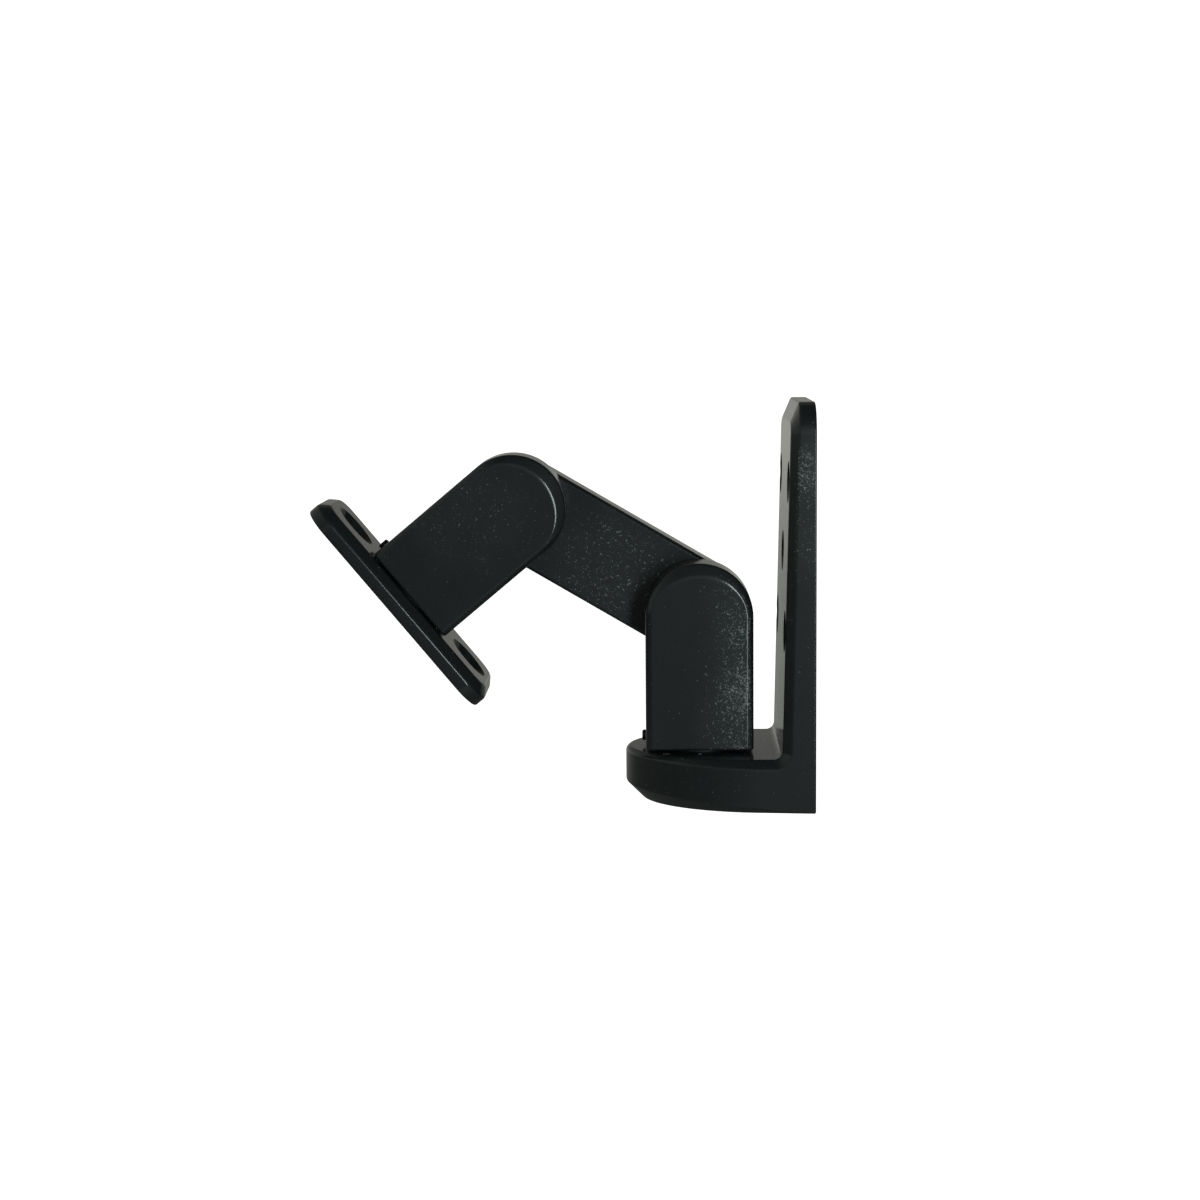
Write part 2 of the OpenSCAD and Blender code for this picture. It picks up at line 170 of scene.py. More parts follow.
class KnuckleSizes(bpy.types.PropertyGroup):
    """Sizes of the two equal knuckles"""

    width: length("Width", "Width and depth, and the diameter of the round end", 30)
    pivot: length("Pivot height", "Height of the pivot above the base", 37.3)
    lap_drop: length("Lap depth", "Depth of the lap below the pivot", 16.5)
    bevel_side: length("Side bevel", "Width of the face bevel along the sides", 1.35)
    bevel_tip: length("Tip bevel", "Width of the face bevel at the round end", 3.5)
    bevel_depth: length("Bevel depth", "Depth of the face bevel", 1.3)
    base_soft: length("Base bevel", "Width of the face bevel along the base", 0.2)
    pivot_thread: length("Pivot thread", "Depth of the tapped hole at the pivot", 13.1)
    base_thread: length("Base thread", "Depth of the tapped hole in the base", 13)
    softness: length("Edge softness", "Rounding that the coat leaves on the edges", 0.6)


class LinkSizes(bpy.types.PropertyGroup):
    """Sizes of the link arm"""

    width: length("Width", "Width of the link arm", 27.5)
    thick: length("Thickness", "Thickness of the link arm", 13)
    near_edge: length("Near edge", "Chamfer along the near edges", 0.8)
    far_edge: length("Far edge", "Rounding of the far edges", 0.9)
    web: length("Web", "Thickness under the washers in the recesses", 6)
    softness: length("Edge softness", "Rounding that the coat leaves on the edges", 0.25)


class PlateSizes(bpy.types.PropertyGroup):
    """Sizes of the speaker plate"""

    length: length("Length", "Length of the speaker plate", 71.2)
    width: length("Width", "Width of the speaker plate", 33.4)
    thick: length("Thickness", "Thickness of the speaker plate", 6)
    bevel: length("Bevel", "Bevel round the face at the knuckle", 2.5)
    corner: length("Corner radius", "Radius of the corners", 7.5)
    span: length("Hole span", "Distance between the two speaker holes", 49)
    hole: length("Speaker hole", "Diameter of each speaker hole", 6.6)
    sink: length("Countersink", "Diameter of each countersink", 13.8)
    softness: length("Edge softness", "Rounding that the coat leaves on the edges", 0.6)


class FastenerSizes(bpy.types.PropertyGroup):
    """Sizes of the bolts, washers and lock screws"""

    bolt: length("Bolt", "Diameter of the bolts", 6)
    bore: length("Bore radius", "Radius of the bolt holes", 3.05)
    recess: length("Recess radius", "Radius of the recesses for the cap heads", 6.4)
    bolt_length: length("Bolt length", "Length of a cap bolt under its head", 20)
    tip: length("Bolt tip", "Length of the taper at the end of a bolt", 0.7)
    tip_in: length("Tip taper", "How far that taper reaches in", 0.6)
    pitch: length("Thread pitch", "Distance from one thread to the next", 1)
    thread_depth: length("Thread depth", "Depth of the thread", 0.45)
    head: length("Cap head", "Diameter of a cap bolt's head", 10)
    head_height: length("Cap head height", "Height of a cap bolt's head", 6)
    socket: length("Cap socket", "Width across the flats of a cap bolt's socket", 5)
    stack: length("Washer stack", "Thickness of the flat and the split washer together", 2.4)
    friction: length("Friction washer", "Thickness of the washers at the shelf and plate", 0.6)
    lap: length("Lap washer", "Thickness of the washers beside the link arm", 0.5)
    flat_head: length("Flat head", "Diameter of the countersunk bolt's head", 12)
    flat_length: length("Flat bolt length", "Length of the countersunk bolt", 16)
    flat_socket: length("Flat socket", "Width of the countersunk bolt's socket", 4)
    lock: length("Lock screw", "Diameter of the lock screws", 3)
    lock_height: length("Lock screw height", "Height of a lock screw above the base", 2.1)
    lock_proud: length("Lock screw proud", "How far a lock screw stands out", 1.1)
    lock_socket: length("Lock socket", "Width across the flats of a lock screw's socket", 1.5)
    lock_pitch: length("Lock pitch", "Thread pitch of the lock screws", 0.5)
    lock_thread: length("Lock thread", "Thread depth of the lock screws", 0.2)
    slack: length("Slack", "Room between a bolt or screw and what it sits in", 0.05)


class Finishes(bpy.types.PropertyGroup):
    """Colours and textures of the powder coat, the bolts and the friction washers"""

    coat: colour("Powder coat", "Colour of the powder coat", (0.0060, 0.0082, 0.0085))
    # The pale tone and the speck colour also carry the painted glints where specks crowd.
    coat_pale: colour("Pale coat", "Paler tone that clouds the coat", (0.0130, 0.0170, 0.0172))
    speck_and_glint: colour("Specks", "Colour of the bright specks in the coat", (0.40, 0.42, 0.42))
    lint: colour("Lint", "Colour of the lint on the shelf", (0.85, 0.85, 0.82))
    steel: colour("Black oxide", "Colour of the bolts and steel washers", (0.030, 0.030, 0.032))
    nylon: colour("Nylon", "Colour of the friction washers", (0.012, 0.012, 0.013))
    coat_rough: share("Coat roughness", "Roughness of the powder coat", 0.6)
    steel_rough: share("Steel roughness", "Roughness of the black oxide", 0.34)
    nylon_rough: share("Nylon roughness", "Roughness of the nylon", 0.5)
    clouds: number("Clouds", "Clouds of tone in a metre of coat", 110)
    grains: number("Grains", "Grains of texture in a metre of coat", 1500)
    specks: number("Speck count", "Cells of bright specks in a metre of coat", 1600)
    dusts: number("Dust count", "Cells of faint dust in a metre of coat", 900)
    bump: length("Coat bump", "Height of the coat's texture", 0.06)
    fine_bump: length("Fine bump", "Height of the texture of steel and nylon", 0.02)


class StudioSettings(bpy.types.PropertyGroup):
    """The camera, the floor and the light"""

    camera: FloatVectorProperty(
        name="Camera", description="Place of the camera", size=3, subtype="TRANSLATION",
        unit="LENGTH", default=(-0.04297, -0.672265, 0.065305))
    yaw: angle("Yaw", "Turn of the camera to the right", -1.393)
    pitch: angle("Pitch", "Tilt of the camera downwards", 6.724)
    roll: angle("Roll", "Roll of the camera", -0.467)
    lens: number("Lens", "Focal length on a 36 mm sensor, in millimetres", 71.89)
    floor_drop: length("Floor drop", "How far the floor lies under the middle wall hole", 350)
    floor: colour("Floor", "Colour of the floor", (0.50, 0.50, 0.47))
    floor_pale: colour("Floor, paler", "Paler tone of the floor", (0.54, 0.54, 0.51))
    floor_glow: colour("Floor glow", "Light that the far floor gives", (1.0, 1.02, 0.92), 2)
    white: number("White", "Strength of the white behind and of the floor's glow", 1.1)
    key_way: FloatVectorProperty(
        name="Key direction", description="From the bracket to the key light", size=3,
        subtype="XYZ", default=(0.34, -0.93, 0.05))
    key_reach: length("Key distance", "From the bracket to the key light", 900)
    key_width: length("Key width", "Width of the key light", 140)
    key_height: length("Key height", "Height of the key light", 500)
    key_watts: number("Key power", "Power of the key light, in watts", 3)
    key_tint: colour("Key tint", "Colour of the key light", (0.90, 1.0, 1.02), 2)
    dim: number("All round", "Light from every side", 0.06)
    behind: number("Behind", "Light from behind the bracket", 0.37)
    behind_fade: number("Behind, fading", "How much of it is lost higher up", 0.28)
    skyline: number("Skyline", "Extra light just above the floor behind", 0.25)
    front: number("Front", "Light from straight in front", 0.26)
    left: number("Left", "Light from the speaker's side", 0.4)


def settle():
    """Leaves edit mode and deselects every object."""
    if bpy.context.mode != "OBJECT":
        bpy.ops.object.mode_set(mode="OBJECT")
    bpy.ops.object.select_all(action="DESELECT")


def take(*objects):
    """Selects these objects alone and makes the first one active."""
    settle()
    for obj in objects:
        obj.select_set(True)
    bpy.context.view_layer.objects.active = objects[0]


def same(a, b):
    """True where two coordinates are the same place."""
    return abs(a - b) < 10 * NEAR


def call(obj, name):
    """Names an object and its mesh."""
    obj.name = obj.data.name = name
    return obj


class Bench:
    """A mesh under the tools: it starts from a primitive and is shaped in edit mode."""

    def __init__(self, name, add, **settings):
        settle()
        add(**settings)
        self.obj = call(bpy.context.active_object, name)
        bpy.ops.object.transform_apply(location=True, rotation=True, scale=True)
        bpy.ops.object.mode_set(mode="EDIT")
        bpy.ops.mesh.select_all(action="SELECT")

    def pick(self, kind, test):
        """Selects the vertices, edges or faces that pass a test, and nothing else."""
        bpy.ops.mesh.select_mode(type=kind)
        bpy.ops.mesh.select_all(action="DESELECT")
        mesh = bmesh.from_edit_mesh(self.obj.data)
        mesh.normal_update()
        parts = {"VERT": mesh.verts, "EDGE": mesh.edges, "FACE": mesh.faces}[kind]
        found = [part for part in parts if test(part)]
        if not found:
            raise RuntimeError(f"{self.obj.name}: nothing to select")
        for part in found:
            part.select_set(True)
        bmesh.update_edit_mesh(self.obj.data)
        return self

    def everything(self):
        bpy.ops.mesh.select_mode(type="FACE")
        bpy.ops.mesh.select_all(action="SELECT")
        return self

    def extrude(self, x=0, y=0, z=0):
        bpy.ops.mesh.extrude_region_move(TRANSFORM_OT_translate={"value": (x, y, z)})
        return self

    def move(self, x=0, y=0, z=0):
        bpy.ops.transform.translate(value=(x, y, z))
        return self

    def scale(self, factors, centre):
        bpy.ops.transform.resize(value=factors, center_override=centre)
        return self

    def bevel(self, offset, segments=1):
        bpy.ops.mesh.bevel(
            offset=offset, segments=segments, profile=0.5, affect="EDGES", clamp_overlap=False)
        return self

    def slice(self, place, normal, keep_both=True, fill=False):
        """Cuts the whole mesh by a plane. Unless both sides stay, the normal's side goes."""
        bpy.ops.mesh.select_all(action="SELECT")
        bpy.ops.mesh.bisect(
            plane_co=place, plane_no=normal, use_fill=fill, clear_outer=not keep_both,
            threshold=NEAR)
        return self

    def shape(self, rule):
        """Moves each vertex to where a rule puts it, for forms that no even bevel gives."""
        mesh = bmesh.from_edit_mesh(self.obj.data)
        for vert in mesh.verts:
            vert.co = rule(vert.co.copy())
        bmesh.update_edit_mesh(self.obj.data)
        return self

    def drop_faces(self):
        bpy.ops.mesh.delete(type="FACE")
        return self

    def outwards(self):
        """Turns all faces outwards."""
        self.everything()
        bpy.ops.mesh.normals_make_consistent(inside=False)
        return self

    def merge_flat(self):
        """Joins faces that lie in one plane."""
        self.everything()
        bpy.ops.mesh.dissolve_limited(angle_limit=math.radians(FLAT))
        return self

    def flatten(self):
        """Merges doubles and joins faces that lie in one plane."""
        self.everything()
        bpy.ops.mesh.remove_doubles(threshold=NEAR)
        return self.merge_flat().everything()

    def done(self):
        """Tidies the mesh, turns its faces outwards and leaves edit mode."""
        self.flatten().outwards()
        settle()
        return self.obj


def on_rim(edge, test):
    """True for an edge with exactly one of its two faces inside a group."""
    return len(edge.link_faces) == 2 and sum(bool(test(face)) for face in edge.link_faces) == 1


def all_at(part, **places):
    """True where every vertex of an edge or face has these coordinates."""
    return all(same(getattr(vert.co, axis), place)
               for vert in part.verts for axis, place in places.items())


def run_modifier(obj, kind, **settings):
    """Adds a modifier, applies it and leaves its result in the mesh."""
    take(obj)
    modifier = obj.modifiers.new(kind.title(), kind)
    for key, value in settings.items():
        setattr(modifier, key, value)
    bpy.ops.object.modifier_apply(modifier=modifier.name)


def join(first, second):
    """Joins two open shells that meet on a common border into one closed mesh."""
    take(first, second)
    bpy.ops.object.join()
    bpy.ops.object.mode_set(mode="EDIT")
    bpy.ops.mesh.select_all(action="SELECT")
    bpy.ops.mesh.remove_doubles(threshold=20 * NEAR)
    bpy.ops.mesh.dissolve_limited(angle_limit=math.radians(FLAT))
    bpy.ops.mesh.normals_make_consistent(inside=False)
    settle()
    return first


def drill(obj, *tools):
    """Cuts tools out of a piece and removes them."""
    for tool in tools:
        run_modifier(obj, "BOOLEAN", operation="DIFFERENCE", solver="EXACT", object=tool)
        bpy.data.objects.remove(tool)


def soften(obj, width, segments=3, sharp=15):
    """Rounds the edges that turn by more than an angle, in degrees."""
    run_modifier(
        obj, "BEVEL", width=width, segments=segments, limit_method="ANGLE",
        angle_limit=math.radians(sharp), use_clamp_overlap=False, miter_outer="MITER_ARC")


def shade(obj, sharp=35):
    """Shades a piece smooth up to the edges that turn by more than an angle, in degrees."""
    take(obj)
    bpy.ops.object.shade_smooth_by_angle(angle=math.radians(sharp))
    return obj


def shade_casting(obj):
    """Shades a casting and keeps its flat faces flat."""
    shade(obj, 32)
    run_modifier(obj, "WEIGHTED_NORMAL", mode="FACE_AREA", weight=100, keep_sharp=True)
    return obj


def put(obj, matrix):
    """Moves a piece's mesh to its place and leaves its object at the origin."""
    take(obj)
    obj.matrix_world = matrix
    bpy.ops.object.transform_apply(location=True, rotation=True, scale=True)
    return obj


def copy_of(obj, name):
    """A copy with its own mesh."""
    twin = obj.copy()
    twin.data = obj.data.copy()
    bpy.context.scene.collection.objects.link(twin)
    return call(twin, name)


def at(x=0, y=0, z=0):
    """A shift to a place."""
    return Matrix.Translation((x, y, z))


def spun(degrees, axis):
    """A turn about an axis through the origin."""
    return Matrix.Rotation(math.radians(degrees), 4, axis)


def disc(name, radius, place, steps=LARGE_ROUND, tilt=0):
    """A flat round face to start from, tilted about X by an angle in degrees."""
    return Bench(
        name, bpy.ops.mesh.primitive_circle_add, vertices=steps, radius=radius,
        fill_type="NGON", location=place, rotation=(math.radians(tilt), 0, 0))


def turned(name, profile, steps=48):
    """A solid turned about Z through the points (radius, height) of a profile."""
    radius, height = profile[0]
    bench = disc(name, radius, (0, 0, height), steps)
    for (r0, z0), (r1, z1) in zip(profile, profile[1:]):
        bench.extrude(z=z1 - z0)
        if not same(r0, r1):
            bench.scale((r1 / r0, r1 / r0, 1), (0, 0, z1))
    return bench


def bit(profile, matrix=None):
    """A drill turned from a profile and put in place."""
    tool = turned("drill", profile, HOLE_ROUND).done()
    return put(tool, matrix) if matrix else tool


def rod(radius, start, end, steps=HOLE_ROUND):
    """A plain drill between two points."""
    start, end = Vector(start), Vector(end)
    way = end - start
    tool = turned("drill", [(radius, 0), (radius, way.length)], steps).done()
    return put(tool, at(*start) @ way.to_track_quat("Z", "Y").to_matrix().to_4x4())


def wall_thickness(sizes, z):
    """Thickness of the wall plate at a height, as it thins towards its top."""
    shelf_top, top = -sizes.shelf_top, WALL_HIGH.z
    thinner = sizes.thick_low - sizes.thick_top
    return sizes.thick_low - thinner * (z - shelf_top) / (top - shelf_top)


def model_wall_plate(sizes):
    """The wall plate and the root of its shelf, open where the nose joins it."""
    half, top, foot, tip = WALL_HIGH.y, WALL_HIGH.z, WALL_LOW.z, WALL_LOW.x
    shelf_top = -sizes.shelf_top
    nose_start = tip + sizes.nose
    body = Bench(
        "wall_bracket_casting", bpy.ops.mesh.primitive_cube_add, size=1,
        location=(-sizes.thick_low / 2, 0, (top + foot) / 2),
        scale=(sizes.thick_low, 2 * half, top - foot))
    body.slice((0, 0, shelf_top), (0, 0, 1))
    body.pick("FACE", lambda f: f.normal.x < -0.9 and f.calc_center_median().z < shelf_top)
    body.extrude(x=nose_start + sizes.thick_low)
    body.pick("VERT", lambda v: same(v.co.x, -sizes.thick_low) and same(v.co.z, top))
    body.move(x=sizes.thick_low - sizes.thick_top)
    body.pick("EDGE", lambda e: all_at(e, x=-sizes.thick_low, z=shelf_top))
    body.bevel(sizes.fillet, 8)
    body.pick("EDGE", lambda e: all_at(e, z=top) and same(e.verts[0].co.y, e.verts[1].co.y))
    body.bevel(sizes.corner, 12).flatten()

    def is_front(face):
        middle = face.calc_center_median()
        if same(middle.x, nose_start):
            return False
        on_shelf = face.normal.z > 0.3 and middle.z < shelf_top + sizes.fillet
        return face.normal.x < -0.3 or on_shelf

    body.pick("EDGE", lambda e: on_rim(e, is_front) and not all_at(e, x=nose_start))
    body.bevel(sizes.chamfer)

    # The even chamfer is stretched down over the top edge, about the foot of the corner arcs.
    arc_low = top - sizes.corner
    lower = (sizes.corner - sizes.top_chamfer) / (sizes.corner - sizes.chamfer)
    body.pick("VERT", lambda v: (
        v.co.z > arc_low - NEAR and same(v.co.x, -wall_thickness(sizes, v.co.z))))
    body.scale((lower, 1, lower), (-wall_thickness(sizes, arc_low), 0, arc_low))

    # The chamfer under the shelf grows evenly from nothing at the wall.
    under = sizes.under_chamfer * nose_start / tip
    for side in (1, -1):
        along = Vector((nose_start, 0, under))
        across = Vector((nose_start, -side * under, 0))
        normal = -side * along.cross(across).normalized()
        body.slice(Vector((0, side * half, foot)), normal, keep_both=False, fill=True)
    body.pick("FACE", lambda f: all_at(f, x=nose_start)).drop_faces()
    return body.done()


def model_shelf_nose(sizes):
    """The half-oval front of the shelf, open where it joins the root."""
    half, foot, tip = WALL_HIGH.y, WALL_LOW.z, WALL_LOW.x
    shelf_top = -sizes.shelf_top
    start = tip + sizes.nose
    nose = disc("nose", half, (start, 0, foot))
    nose.scale((sizes.nose / half, 1, 1), (start, 0, foot))
    nose.slice((start, 0, 0), (1, 0, 0), keep_both=False).everything()
    rise = (shelf_top - foot) / 3
    for _ in range(3):
        nose.extrude(z=rise)

    def chamfered(place):
        """The four rings of the nose go to the ends of its upper and lower chamfer."""
        level = round((place.z - foot) / rise)
        out = Vector(((place.x - start) / sizes.nose ** 2, place.y / half ** 2, 0)).normalized()
        forward = (start - place.x) / sizes.nose
        upper = sizes.chamfer + (sizes.tip_chamfer - sizes.chamfer) * forward
        under = sizes.under_chamfer * place.x / tip
        inset = {0: under, 3: upper}.get(level, 0)
        height = (foot, foot + under, shelf_top - upper, shelf_top)[level]
        place = place - out * inset
        return Vector((place.x, place.y, height))

    nose.shape(chamfered)
    nose.pick("FACE", lambda f: all_at(f, x=start)).drop_faces()
    return nose.done()


def model_wall_casting(sizes, fasteners):
    """The wall plate and its shelf, as one casting with six holes."""
    casting = call(join(model_wall_plate(sizes), model_shelf_nose(sizes)), "wall_bracket_casting")
    soften(casting, sizes.softness)
    hole, sink = sizes.hole / 2, sizes.sink / 2
    for column, row in ((-1, -1), (-1, 1), (0, 0), (1, -1), (1, 1)):
        y, z = column * sizes.hole_span_y / 2, row * sizes.hole_span_z / 2
        front = wall_thickness(sizes, z)
        profile = [(hole, -OVER), (hole, front - (sink - hole)), (sink + OVER, front + OVER)]
        drill(casting, bit(profile, at(0, y, z) @ spun(-90, "Y")))
    foot, shelf_top = WALL_LOW.z, -sizes.shelf_top
    bore, recess, seat = fasteners.bore, fasteners.recess, foot + sizes.recess_depth
    profile = [(recess, foot - OVER), (recess, seat), (bore, seat), (bore, shelf_top + OVER)]
    drill(casting, bit(profile, at(PAN.x)))
    return shade_casting(casting)


def model_knuckle(sizes, fasteners):
    """One knuckle standing on z = 0 with its pivot over the origin."""
    half = sizes.width / 2
    shoulder = sizes.pivot - sizes.lap_drop
    face_y = -half + sizes.bevel_depth
    body = disc("knuckle", half, (0, face_y, sizes.pivot), tilt=90)
    body.slice((0, 0, sizes.pivot), (0, 0, -1), keep_both=False)
    body.pick("EDGE", lambda e: all_at(e, z=sizes.pivot))
    body.extrude(z=-sizes.pivot)
    body.everything().extrude(y=-face_y).outwards()
    body.pick("FACE", lambda f: f.normal.y < -0.9)
    body.extrude(y=-sizes.bevel_depth)
    narrow = (half - sizes.bevel_side) / half
    body.pick("VERT", lambda v: same(v.co.y, -half) and v.co.z > sizes.pivot - NEAR)
    body.scale((narrow, 1, (half - sizes.bevel_tip) / half), (0, -half, sizes.pivot))
    body.pick("VERT", lambda v: same(v.co.y, -half) and same(v.co.z, 0))
    body.scale((narrow, 1, 1), (0, -half, 0)).move(z=sizes.base_soft)
    body.slice((0, 0, shoulder), (0, 0, 1))
    body.pick("FACE", lambda f: f.normal.y > 0.9 and f.calc_center_median().z < shoulder)
    body.extrude(y=half)
    knuckle = body.done()
    soften(knuckle, sizes.softness)
    lock, lock_z = fasteners.lock / 2 + fasteners.slack, fasteners.lock_height
    drill(
        knuckle,
        rod(fasteners.bore, (0, -sizes.pivot_thread, sizes.pivot), (0, OVER, sizes.pivot)),
        rod(fasteners.bore, (0, 0, -OVER), (0, 0, sizes.base_thread)),
        rod(lock, (-half - OVER, 0, lock_z), (0, 0, lock_z), SCREW_ROUND))
    return shade_casting(knuckle)


def model_link(sizes, fasteners):
    """The link arm, its middle over the origin and its ends along X."""
    reach = (UPPER_PIVOT - LOWER_PIVOT).length / 2
    place = (reach, fasteners.lap + CLEAR, 0)
    body = disc("link_arm_casting", sizes.width / 2, place, tilt=90)
    body.slice((reach, 0, 0), (-1, 0, 0), keep_both=False)
    body.pick("EDGE", lambda e: all_at(e, x=reach))
    body.extrude(x=-reach)
    link = body.done()
    run_modifier(
        link, "MIRROR", use_axis=(True, False, False), use_clip=True, merge_threshold=NEAR)
    take(link)
    bpy.ops.object.mode_set(mode="EDIT")
    body.everything().extrude(y=sizes.thick - CLEAR).merge_flat().outwards()
    body.pick("EDGE", lambda e: on_rim(e, lambda f: f.normal.y < -0.9))
    body.bevel(sizes.near_edge)
    body.pick("EDGE", lambda e: on_rim(e, lambda f: f.normal.y > 0.9))
    body.bevel(sizes.far_edge, 3)
    body.done()
    far = fasteners.lap + sizes.thick + OVER
    seat = fasteners.lap + sizes.web - CLEAR
    for x in (-reach, reach):
        drill(
            link,
            rod(fasteners.bore, (x, -OVER, 0), (x, far, 0)),
            rod(fasteners.recess, (x, seat, 0), (x, far, 0)))
    soften(link, sizes.softness, segments=2, sharp=40)
    return shade_casting(link)


def model_plate(sizes, fasteners):
    """The speaker plate, lying under z = 0 as on the base of an upright knuckle."""
    top = -fasteners.friction
    low = top - sizes.thick
    body = Bench(
        "speaker_plate_casting", bpy.ops.mesh.primitive_cube_add, size=1,
        location=(0, 0, (top + low) / 2), scale=(sizes.length, sizes.width, sizes.thick))
    body.pick("EDGE", lambda e: abs(e.verts[0].co.z - e.verts[1].co.z) > sizes.thick / 2)
    body.bevel(sizes.corner, 10)
    body.pick("EDGE", lambda e: on_rim(e, lambda f: f.normal.z > 0.9))
    body.bevel(sizes.bevel)
    plate = body.done()
    soften(plate, sizes.softness)
    hole, sink = sizes.hole / 2, sizes.sink / 2
    profile = [(hole, low - OVER), (hole, top - (sink - hole)), (sink + OVER, top + OVER)]
    for side in (-1, 1):
        drill(plate, bit(profile, at(side * sizes.span / 2)))
    head, bore = fasteners.flat_head / 2 + fasteners.slack, fasteners.bore
    drill(plate, bit([(head + OVER, low - OVER), (bore, low + head - bore), (bore, top + OVER)]))
    return shade_casting(plate)


def thread(radius, start, end, pitch, depth):
    """Profile points of a thread's ridges from one height to another."""
    turns = round((end - start) / pitch)
    step = (end - start) / turns
    points = []
    for i in range(turns):
        z = start + step * i
        points += [
            (radius, z), (radius, z + 0.15 * step),
            (radius - depth, z + 0.5 * step), (radius - depth, z + 0.6 * step)]
    return points + [(radius, end)]


def hex_socket(across, depth, top):
    """A drill for a hexagonal socket that opens upwards at a height."""
    radius = across / 2 / math.cos(math.radians(30))
    floor = top - depth
    profile = [(0.05 * radius, floor - 0.5 * radius), (radius, floor), (radius, top + OVER)]
    return turned("socket", profile, 6).done()


def model_cap_bolt(sizes):
    """A socket cap bolt with a knurled head over z = 0 and its thread below."""
    r, head, height = sizes.bolt / 2, sizes.head / 2, sizes.head_height
    end, tip = -sizes.bolt_length, sizes.tip
    waist, collar, rim = 0.96 * head, 0.965 * head, 0.1 * head
    knurl_low, knurl_high = 0.9 * MM, height - 2.4 * rim
    profile = [(r - sizes.tip_in, end), (r, end + tip)]
    profile += thread(r, end + 1.2 * tip, -2 * sizes.pitch, sizes.pitch, sizes.thread_depth)
    profile += [
        (r, -0.3 * MM), (r, 0), (0.88 * head, 0), (waist, 0.25 * MM), (waist, 0.6 * MM),
        (head, knurl_low), (head, knurl_high), (collar, height - 1.9 * rim)]
    profile += [
        (collar - rim * (1 - math.cos(way)), height - rim * (1 - math.sin(way)))
        for way in ROUND_RIM]
    bench = turned("cap_bolt", profile, KNURL_ROUND)

    def is_groove(vert):
        on_knurl = knurl_low - NEAR < vert.co.z < knurl_high + NEAR
        if not on_knurl or vert.co.xy.length < 0.99 * head:
            return False
        return round(math.atan2(vert.co.y, vert.co.x) / math.tau * KNURL_ROUND) % 2 == 1

    bench.pick("VERT", is_groove).scale((0.955, 0.955, 1), (0, 0, 0))
    bolt = bench.done()
    drill(bolt, hex_socket(sizes.socket, height / 2, height))
    return shade(bolt)


def model_flat_bolt(sizes):
    """A countersunk bolt, its flat face on z = 0 and its thread above."""
    r, head, end, tip = sizes.bolt / 2, sizes.flat_head / 2, sizes.flat_length, sizes.tip
    profile = [(head - 0.25 * MM, 0), (head - sizes.slack, 0.15 * MM), (r, head - r)]
    profile += thread(r, head - r + 1 * MM, end - 1.2 * tip, sizes.pitch, sizes.thread_depth)
    profile += [(r, end - tip), (r - sizes.tip_in, end)]
    bolt = turned("flat_bolt", profile).done()
    drill(bolt, put(hex_socket(sizes.flat_socket, sizes.bolt / 2.5, 0), spun(180, "X")))
    return shade(bolt)


def model_lock_screw(sizes, knuckle):
    """A lock screw along +Z, its outer end at z = 0 and its tip just short of the bolt."""
    r = sizes.lock / 2
    end = knuckle.width / 2 + sizes.lock_proud - sizes.bolt / 2 - 0.3 * MM
    rim = 0.35 * r
    profile = [
        (r - rim * (1 - math.sin(way)), rim * (1 - math.cos(way))) for way in ROUND_RIM]
    profile += [(r, 1.6 * MM)]
    profile += thread(r, 1.7 * MM, end - 0.5 * r, sizes.lock_pitch, sizes.lock_thread)[1:]
    profile += [(0.5 * r, end)]
    screw = turned("lock_screw", profile, SCREW_ROUND).done()
    drill(screw, put(hex_socket(sizes.lock_socket, r, 0), spun(180, "X")))
    return shade(screw)


class Term:
    """A node's socket in a formula: the usual signs add Math nodes."""

    def __init__(self, tree, socket):
        self.tree = tree
        self.socket = socket

    def maths(self, operation, *values):
        node = self.tree.nodes.new("ShaderNodeMath")
        node.operation = operation
        for socket, value in zip(node.inputs, values):
            if isinstance(value, Term):
                self.tree.links.new(value.socket, socket)
            else:
                socket.default_value = value
        return Term(self.tree, node.outputs[0])

    def __add__(self, other):
        return self.maths("ADD", self, other)

    def __radd__(self, other):
        return self.maths("ADD", other, self)

    def __sub__(self, other):
        return self.maths("SUBTRACT", self, other)

    def __rsub__(self, other):
        return self.maths("SUBTRACT", other, self)

    def __mul__(self, other):
        return self.maths("MULTIPLY", self, other)

    def __rmul__(self, other):
        return self.maths("MULTIPLY", other, self)

    def __truediv__(self, other):
        return self.maths("DIVIDE", self, other)

    def __rtruediv__(self, other):
        return self.maths("DIVIDE", other, self)

    def __neg__(self):
        return self.maths("SUBTRACT", 0, self)

    def clamped(self):
        """Kept between 0 and 1."""
        return self.maths("MINIMUM", self.maths("MAXIMUM", self, 0), 1)

    def step(self, low, high):
        """0 below one value and 1 above another, soft between them."""
        t = ((self - low) / (high - low)).clamped()
        return t * t * (3 - 2 * t)


